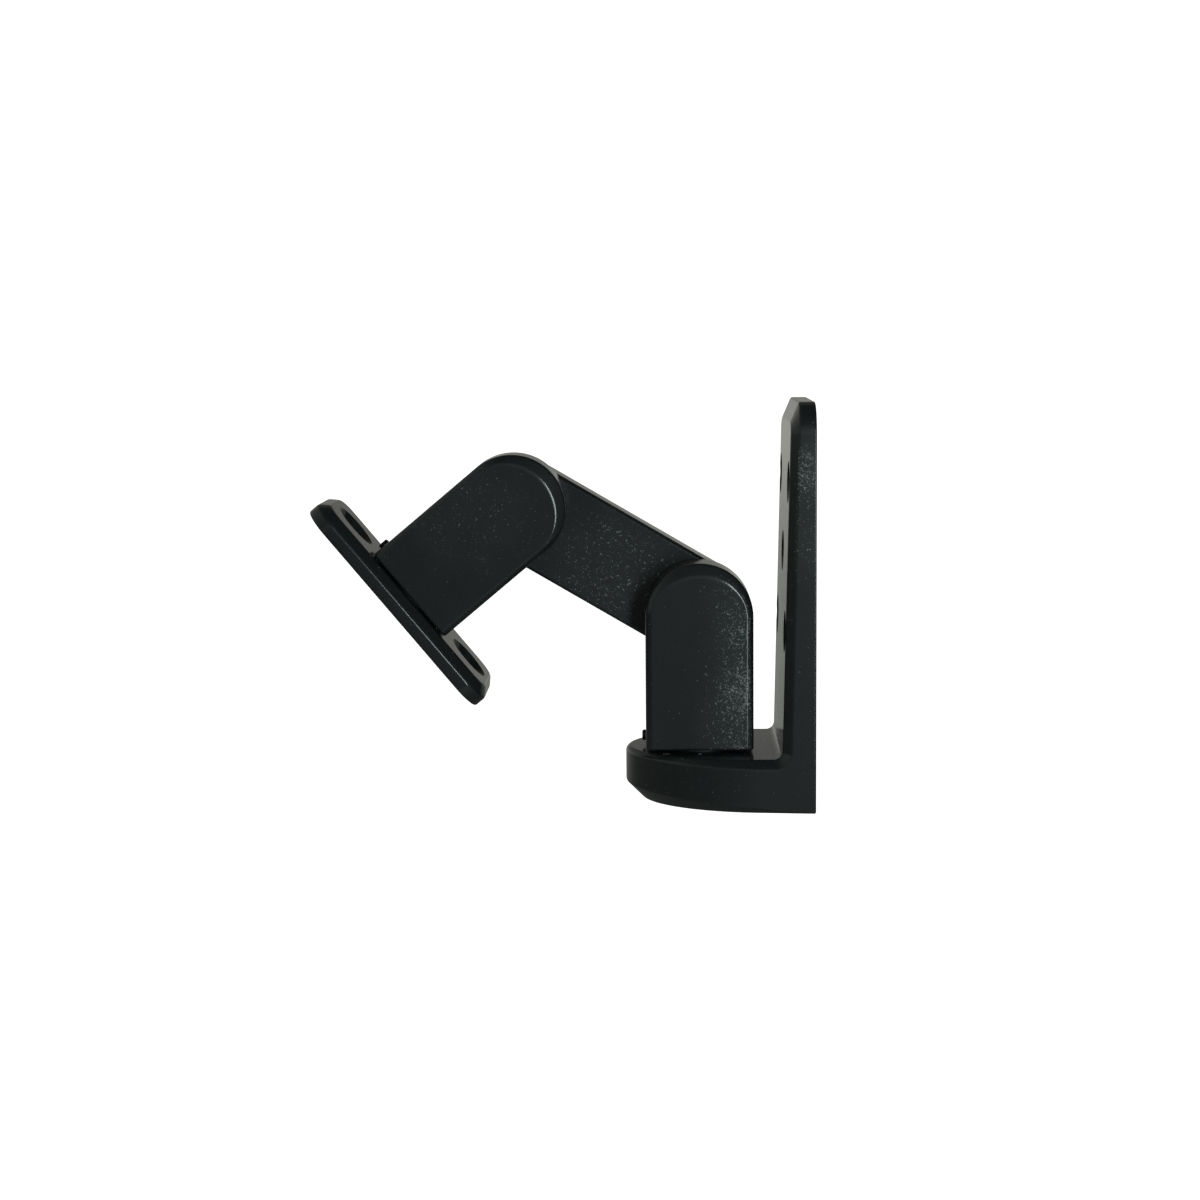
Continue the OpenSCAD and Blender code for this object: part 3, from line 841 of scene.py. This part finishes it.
class Nodes:
    """The nodes of a material or of the world, all but Math added by one method."""

    def __init__(self, owner):
        owner.use_nodes = True
        self.owner = owner
        self.tree = owner.node_tree
        self.tree.nodes.clear()

    def add(self, kind, settings=None, inputs=None, output=0):
        """Adds a node with its settings first, then its sockets' values or links."""
        node = self.tree.nodes.new(kind)
        for key, value in (settings or {}).items():
            setattr(node, key, value)
        for key, value in (inputs or {}).items():
            if isinstance(value, Term):
                self.tree.links.new(value.socket, node.inputs[key])
            else:
                node.inputs[key].default_value = value
        return Term(self.tree, node.outputs[output]) if len(node.outputs) else None

    def own_place(self):
        """The piece's own coordinates."""
        return self.add("ShaderNodeTexCoord", output="Object")

    def shifted_place(self, shift=(0, 0, 0)):
        """The piece's own coordinates, shifted so that two pieces differ."""
        inputs = {"Vector": self.own_place(), "Location": shift}
        return self.add("ShaderNodeMapping", inputs=inputs)

    def noise(self, place, scale, detail=2.0, roughness=0.5, distortion=0.0):
        return self.add("ShaderNodeTexNoise", inputs={
            "Vector": place, "Scale": scale, "Detail": detail, "Roughness": roughness,
            "Distortion": distortion})

    def cells(self, place, scale, output):
        return self.add(
            "ShaderNodeTexVoronoi", inputs={"Vector": place, "Scale": scale}, output=output)

    def blend(self, share_of_second, first, second):
        """Mixes two colours."""
        first, second = ((*c, 1) if isinstance(c, tuple) else c for c in (first, second))
        inputs = {0: share_of_second, 6: first, 7: second}
        return self.add("ShaderNodeMix", {"data_type": "RGBA"}, inputs, output=2)

    def vector(self, operation, first, second, output=0):
        inputs = {0: first, 1: second}
        return self.add("ShaderNodeVectorMath", {"operation": operation}, inputs, output)

    def parts(self, vector):
        """The X, Y and Z of a place or colour, as three terms."""
        first = self.add("ShaderNodeSeparateXYZ", inputs={0: vector})
        return [Term(self.tree, out) for out in first.socket.node.outputs]

    def near(self, place, centre, reach):
        """1 at a point of a face that looks along Y, 0 past a reach, and 0 soon off the face."""
        flat = (1, 20, 1)
        centre = tuple(a * b for a, b in zip(centre, flat))
        gap = self.vector("DISTANCE", self.vector("MULTIPLY", place, flat), centre, "Value")
        return 1 - gap.step(0.3 * reach, reach)

    def bump(self, height, strength, distance):
        inputs = {"Height": height, "Strength": strength, "Distance": distance}
        return self.add("ShaderNodeBump", inputs=inputs, output="Normal")

    def finish(self, **sockets):
        """The Principled shader and the output, and the finished material."""
        names = {
            "colour": "Base Color", "rough": "Roughness", "metal": "Metallic",
            "normal": "Normal", "specular": "Specular IOR Level", "coat": "Coat Weight",
            "coat_rough": "Coat Roughness", "glow": "Emission Color",
            "glow_power": "Emission Strength"}
        inputs = {names[key]: value for key, value in sockets.items()}
        shader = self.add("ShaderNodeBsdfPrincipled", inputs=inputs)
        self.add("ShaderNodeOutputMaterial", inputs={"Surface": shader})
        return self.owner


def new_finish(name):
    """The nodes of a new material."""
    return Nodes(bpy.data.materials.new(name))


def powder_coat(casting, tones, lint=(), lint_z=0):
    """Fine-textured black powder coat with bright specks, painted glints where they crowd, and pale
    lint that lies on it.
    """
    shift, painted_glints = COATS[casting]
    coat = new_finish(casting + "_powder_coat")
    own = coat.own_place()
    place = coat.shifted_place(shift)
    cloud = coat.noise(place, tones.clouds, 3)
    grain = coat.noise(place, tones.grains, 3, 0.6)

    # Random clouding, plus painted glints: near each glint centre the specks crowd and the coat
    # grows paler, where the key light would glint.
    cloud_and_glint = (cloud - 0.5) * 0.4
    for x, y, z, reach, strength in painted_glints:
        centre = (x * MM, y * MM, z * MM)
        cloud_and_glint = cloud_and_glint + coat.near(own, centre, reach * MM) * strength
    edge = 0.75 - cloud_and_glint * 0.15
    speck_and_glint = coat.noise(place, tones.specks, 1, 0.5, 1.2).step(edge, edge + 0.06)
    power = coat.noise(place, 700, 1)

    gap = coat.cells(place, tones.dusts, "Distance")
    chance = coat.parts(coat.cells(place, tones.dusts, "Color"))
    dust = (1 - gap.step(0.08, 0.2)) * (1 - chance[0].step(0.04, 0.05)) * chance[1] * 0.4

    # The pale tone is random grain and cloud, lifted further as a painted glint where glints crowd.
    pale = grain * 1.6 - 0.5 + (cloud - 0.5) * 0.6 + cloud_and_glint * 0.5
    # Bright specks and dust, plus a painted glint that lightens the coat where glints crowd.
    bright = speck_and_glint * power * 0.7 + dust + (cloud_and_glint - 0.2).clamped() * 0.025
    tone = coat.blend(pale.clamped(), tuple(tones.coat), tuple(tones.coat_pale))
    tone = coat.blend(bright.clamped(), tone, tuple(tones.speck_and_glint))
    if lint:
        ragged = coat.noise(place, 1800, 2) * 0.2 * MM
    for x, y, reach in lint:
        gap = coat.vector("DISTANCE", own, (x * MM, y * MM, lint_z), "Value")
        thin = (gap + ragged).step(0.6 * reach * MM, reach * MM)
        tone = coat.blend(1 - thin, tone, tuple(tones.lint))

    rough = (tones.coat_rough + (grain - 0.5) * 0.3 - speck_and_glint * 0.1).clamped()
    normal = coat.bump(grain + speck_and_glint * 0.6, 1.0, tones.bump)
    return coat.finish(
        colour=tone, rough=rough, normal=normal, specular=0.2, coat=0.6, coat_rough=0.14)


def black_oxide(name, tones):
    """Blackened steel with a faint oily variation."""
    oxide = new_finish(name)
    place = oxide.shifted_place()
    cloud = oxide.noise(place, 260, 3)
    grain = oxide.noise(place, 3200, 2)
    pale = tuple(2.2 * part for part in tones.steel)
    tone = oxide.blend((cloud * 0.8 - 0.1).clamped(), tuple(tones.steel), pale)
    rough = (tones.steel_rough + (grain - 0.5) * 0.2 + (cloud - 0.5) * 0.15).clamped()
    normal = oxide.bump(grain, 0.3, tones.fine_bump)
    return oxide.finish(colour=tone, rough=rough, normal=normal, metal=0.85)


def black_nylon(name, tones):
    """Matt black nylon of the friction washers."""
    nylon = new_finish(name)
    place = nylon.shifted_place()
    grain = nylon.noise(place, 2200, 2)
    cloud = nylon.noise(place, 300, 2)
    pale = tuple(1.8 * part for part in tones.nylon)
    tone = nylon.blend(cloud, tuple(tones.nylon), pale)
    rough = (tones.nylon_rough + (grain - 0.5) * 0.2).clamped()
    return nylon.finish(colour=tone, rough=rough, normal=nylon.bump(grain, 0.3, tones.fine_bump))


def dress(obj, material, node):
    """Gives a piece its finish and lets it stand for a node, on that node's body."""
    obj.data.materials.clear()
    obj.data.materials.append(material)
    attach(obj, frame["nodes"][node]["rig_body"])
    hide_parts(node)


def lower_place(scene):
    """Where the lower knuckle stands."""
    return Matrix.Translation(PAN + Vector((0, 0, scene.bracket_fasteners.friction)))


def upper_place(scene):
    """Where the upper knuckle and what is drawn on its base are held."""
    lean = math.atan2(-PLATE_AXIS.x, -PLATE_AXIS.z)
    turn = Matrix.Rotation(lean, 4, "Y")
    return Matrix.Translation(UPPER_PIVOT) @ turn @ at(z=-scene.bracket_knuckle.pivot)


class BRACKET_OT_wall_casting(bpy.types.Operator):
    """Model the wall casting with its shelf"""

    bl_idname = "bracket.wall_casting"
    bl_label = "Wall casting"

    def execute(self, context):
        scene = context.scene
        sizes = scene.bracket_wall
        piece = model_wall_casting(sizes, scene.bracket_fasteners)
        coat = powder_coat("wall", scene.bracket_finishes, SHELF_LINT, -sizes.shelf_top)
        dress(piece, coat, "wall_bracket")
        return {"FINISHED"}


class BRACKET_OT_knuckles(bpy.types.Operator):
    """Model the knuckle once and place it at both ends of the link arm"""

    bl_idname = "bracket.knuckles"
    bl_label = "Knuckles"

    def execute(self, context):
        scene = context.scene
        tones = scene.bracket_finishes
        lower = model_knuckle(scene.bracket_knuckle, scene.bracket_fasteners)
        call(lower, "lower_knuckle_casting")
        upper = copy_of(lower, "upper_knuckle_casting")
        put(lower, lower_place(scene))
        put(upper, upper_place(scene))
        dress(lower, powder_coat("lower", tones), "lower_knuckle")
        dress(upper, powder_coat("upper", tones), "upper_knuckle")
        return {"FINISHED"}


class BRACKET_OT_link_arm(bpy.types.Operator):
    """Model the link arm between the two pivots"""

    bl_idname = "bracket.link_arm"
    bl_label = "Link arm"

    def execute(self, context):
        scene = context.scene
        piece = model_link(scene.bracket_link, scene.bracket_fasteners)
        way = UPPER_PIVOT - LOWER_PIVOT
        middle = (UPPER_PIVOT + LOWER_PIVOT) / 2
        rise = Matrix.Rotation(math.atan2(way.z, -way.x), 4, "Y")
        put(piece, Matrix.Translation(middle) @ rise)
        dress(piece, powder_coat("link", scene.bracket_finishes), "link_arm")
        return {"FINISHED"}


class BRACKET_OT_speaker_plate(bpy.types.Operator):
    """Model the plate that takes the speaker"""

    bl_idname = "bracket.speaker_plate"
    bl_label = "Speaker plate"

    def execute(self, context):
        scene = context.scene
        piece = model_plate(scene.bracket_plate, scene.bracket_fasteners)
        put(piece, upper_place(scene))
        dress(piece, powder_coat("plate", scene.bracket_finishes), "speaker_plate")
        return {"FINISHED"}


class BRACKET_OT_fasteners(bpy.types.Operator):
    """Model the bolts and lock screws and finish the washers"""

    bl_idname = "bracket.fasteners"
    bl_label = "Bolts, screws and washers"

    def execute(self, context):
        scene = context.scene
        sizes, knuckle = scene.bracket_fasteners, scene.bracket_knuckle
        oxide = black_oxide("black_oxide_steel", scene.bracket_finishes)
        nylon = black_nylon("black_nylon", scene.bracket_finishes)

        cap = model_cap_bolt(sizes)
        shelf_seat = WALL_LOW.z + scene.bracket_wall.recess_depth - sizes.stack
        link_seat = Vector((0, sizes.lap + scene.bracket_link.web + sizes.stack, 0))
        for name, place in (
            ("pan_bolt", at(PAN.x, 0, shelf_seat) @ spun(180, "X")),
            ("lower_pivot_bolt", at(*(LOWER_PIVOT + link_seat)) @ spun(-90, "X")),
            ("upper_pivot_bolt", at(*(UPPER_PIVOT + link_seat)) @ spun(-90, "X")),
        ):
            dress(put(copy_of(cap, name + "_knurled"), place), oxide, name)
        bpy.data.objects.remove(cap)

        face = -sizes.friction - scene.bracket_plate.thick
        flat = put(model_flat_bolt(sizes), upper_place(scene) @ at(z=face))
        dress(call(flat, "plate_bolt_countersunk"), oxide, "plate_bolt")

        lock = model_lock_screw(sizes, knuckle)
        out = at(-knuckle.width / 2 - sizes.lock_proud, 0, sizes.lock_height) @ spun(90, "Y")
        for name, base in (
            ("lower_lock_screw", lower_place(scene)), ("upper_lock_screw", upper_place(scene)),
        ):
            dress(put(copy_of(lock, name + "_threaded"), base @ out), oxide, name)
        bpy.data.objects.remove(lock)

        for name, node in frame["nodes"].items():
            if not node.hide_render:
                for slot in node.material_slots:
                    slot.material = nylon if name in NYLON_WASHERS else oxide
        return {"FINISHED"}


def lay_floor(studio):
    """A pale floor that glows far behind, where the wall casting mirrors it."""
    bpy.ops.mesh.primitive_circle_add(
        vertices=128, radius=30, fill_type="NGON", location=(0, 0, -studio.floor_drop))
    floor = bpy.context.active_object
    floor.name = "floor"
    pale = new_finish("pale_floor")
    cloud = pale.noise(pale.shifted_place(), 3, 2)
    tone = pale.blend(cloud, tuple(studio.floor), tuple(studio.floor_pale))
    seen = pale.add("ShaderNodeLightPath", output="Is Camera Ray")
    depth = pale.parts(pale.own_place())[1]
    far = depth.step(0.6, 1.8) * 0.27 + depth.step(1.5, 8.0) * 0.27
    glow = pale.blend(far, (0.0, 0.0, 0.0), tuple(studio.floor_glow))
    glow = pale.blend(seen, glow, (1.0, 1.0, 1.0))
    floor.data.materials.append(
        pale.finish(colour=tone, rough=0.8, glow=glow, glow_power=studio.white))


def light_all_round(scene, studio):
    """Soft light from all sides, and plain white where the camera sees past the floor."""
    sky = Nodes(bpy.data.worlds.new("studio"))
    x, y, z = sky.parts(sky.add("ShaderNodeTexCoord", output="Generated"))
    seen = sky.add("ShaderNodeLightPath", output="Is Camera Ray")
    rise = z.step(0.0, 0.4)
    skyline = 1 - z.step(0.0, 0.06)
    behind = studio.behind - rise * studio.behind_fade + skyline * studio.skyline
    light = studio.dim + y.step(0.45, 0.9) * behind + (-y).step(0.8, 0.99) * studio.front
    light = light + (-x).step(0.2, 0.9) * studio.left
    tint = sky.blend(y.step(-0.2, 0.3), (0.86, 1.0, 0.93), (1.0, 1.0, 0.94))
    shine = sky.add("ShaderNodeBackground", inputs={
        "Color": sky.blend(seen, tint, (1, 1, 1)),
        "Strength": seen * studio.white + (1 - seen) * light})
    sky.add("ShaderNodeOutputWorld", inputs={"Surface": shine})
    scene.world = sky.owner


def hang_key_light(scene, studio):
    """The tall narrow softbox in front, which draws the bright lines along the edges."""
    data = bpy.data.lights.new("key_softbox", "AREA")
    data.shape = "ELLIPSE"
    data.size, data.size_y = studio.key_width, studio.key_height
    data.energy, data.color = studio.key_watts, studio.key_tint
    lamp = bpy.data.objects.new("key_softbox", data)
    scene.collection.objects.link(lamp)
    middle = Vector((-0.07, 0, -0.015))
    way = Vector(studio.key_way).normalized()
    lamp.location = middle + way * studio.key_reach
    lamp.rotation_euler = way.to_track_quat("Z", "Y").to_euler()


def set_camera(scene, studio):
    """The camera at the photograph's viewing angle."""
    yaw, pitch, roll = studio.yaw, studio.pitch, studio.roll
    level = Vector((math.sin(yaw), math.cos(yaw), 0))
    ahead = level * math.cos(pitch) - Vector((0, 0, math.sin(pitch)))
    side = Vector((math.cos(yaw), -math.sin(yaw), 0))
    over = side.cross(ahead)
    right = math.cos(roll) * side + math.sin(roll) * over
    up = math.cos(roll) * over - math.sin(roll) * side
    data = bpy.data.cameras.new("camera")
    data.lens, data.sensor_width = studio.lens, 36
    data.clip_start, data.clip_end = 0.02, 100
    camera = bpy.data.objects.new("camera", data)
    scene.collection.objects.link(camera)
    axes = Matrix((right, up, -ahead)).transposed().to_4x4()
    camera.matrix_world = at(*studio.camera) @ axes
    scene.camera = camera


class BRACKET_OT_studio(bpy.types.Operator):
    """Set up the floor, the light and the camera"""

    bl_idname = "bracket.studio"
    bl_label = "Studio"

    def execute(self, context):
        scene = context.scene
        settle()
        lay_floor(scene.bracket_studio)
        light_all_round(scene, scene.bracket_studio)
        hang_key_light(scene, scene.bracket_studio)
        set_camera(scene, scene.bracket_studio)
        scene.view_settings.view_transform = "Standard"
        return {"FINISHED"}


GROUPS = {
    "bracket_wall": WallCastingSizes,
    "bracket_knuckle": KnuckleSizes,
    "bracket_link": LinkSizes,
    "bracket_plate": PlateSizes,
    "bracket_fasteners": FastenerSizes,
    "bracket_finishes": Finishes,
    "bracket_studio": StudioSettings,
}

OPERATORS = (
    BRACKET_OT_wall_casting, BRACKET_OT_knuckles, BRACKET_OT_link_arm,
    BRACKET_OT_speaker_plate, BRACKET_OT_fasteners, BRACKET_OT_studio,
)


class BRACKET_PT_panel(bpy.types.Panel):
    """Panel that lists the bracket's pieces and their sizes"""

    bl_idname = "BRACKET_PT_panel"
    bl_label = "Speaker wall bracket"
    bl_space_type = "VIEW_3D"
    bl_region_type = "UI"
    bl_category = "Bracket"

    def draw(self, context):
        for operator in OPERATORS:
            self.layout.operator(operator.bl_idname)
        for name, group in GROUPS.items():
            box = self.layout.box()
            box.label(text=group.__doc__)
            for key in group.__annotations__:
                box.prop(getattr(context.scene, name), key)


def register():
    for name, group in GROUPS.items():
        bpy.utils.register_class(group)
        setattr(bpy.types.Scene, name, PointerProperty(type=group))
    for operator in OPERATORS:
        bpy.utils.register_class(operator)
    bpy.utils.register_class(BRACKET_PT_panel)


def unregister():
    bpy.utils.unregister_class(BRACKET_PT_panel)
    for operator in reversed(OPERATORS):
        bpy.utils.unregister_class(operator)
    for name, group in reversed(GROUPS.items()):
        delattr(bpy.types.Scene, name)
        bpy.utils.unregister_class(group)


def main():
    register()
    bpy.ops.bracket.wall_casting()
    bpy.ops.bracket.knuckles()
    bpy.ops.bracket.link_arm()
    bpy.ops.bracket.speaker_plate()
    bpy.ops.bracket.fasteners()
    bpy.ops.bracket.studio()


if __name__ == "__main__":
    main()
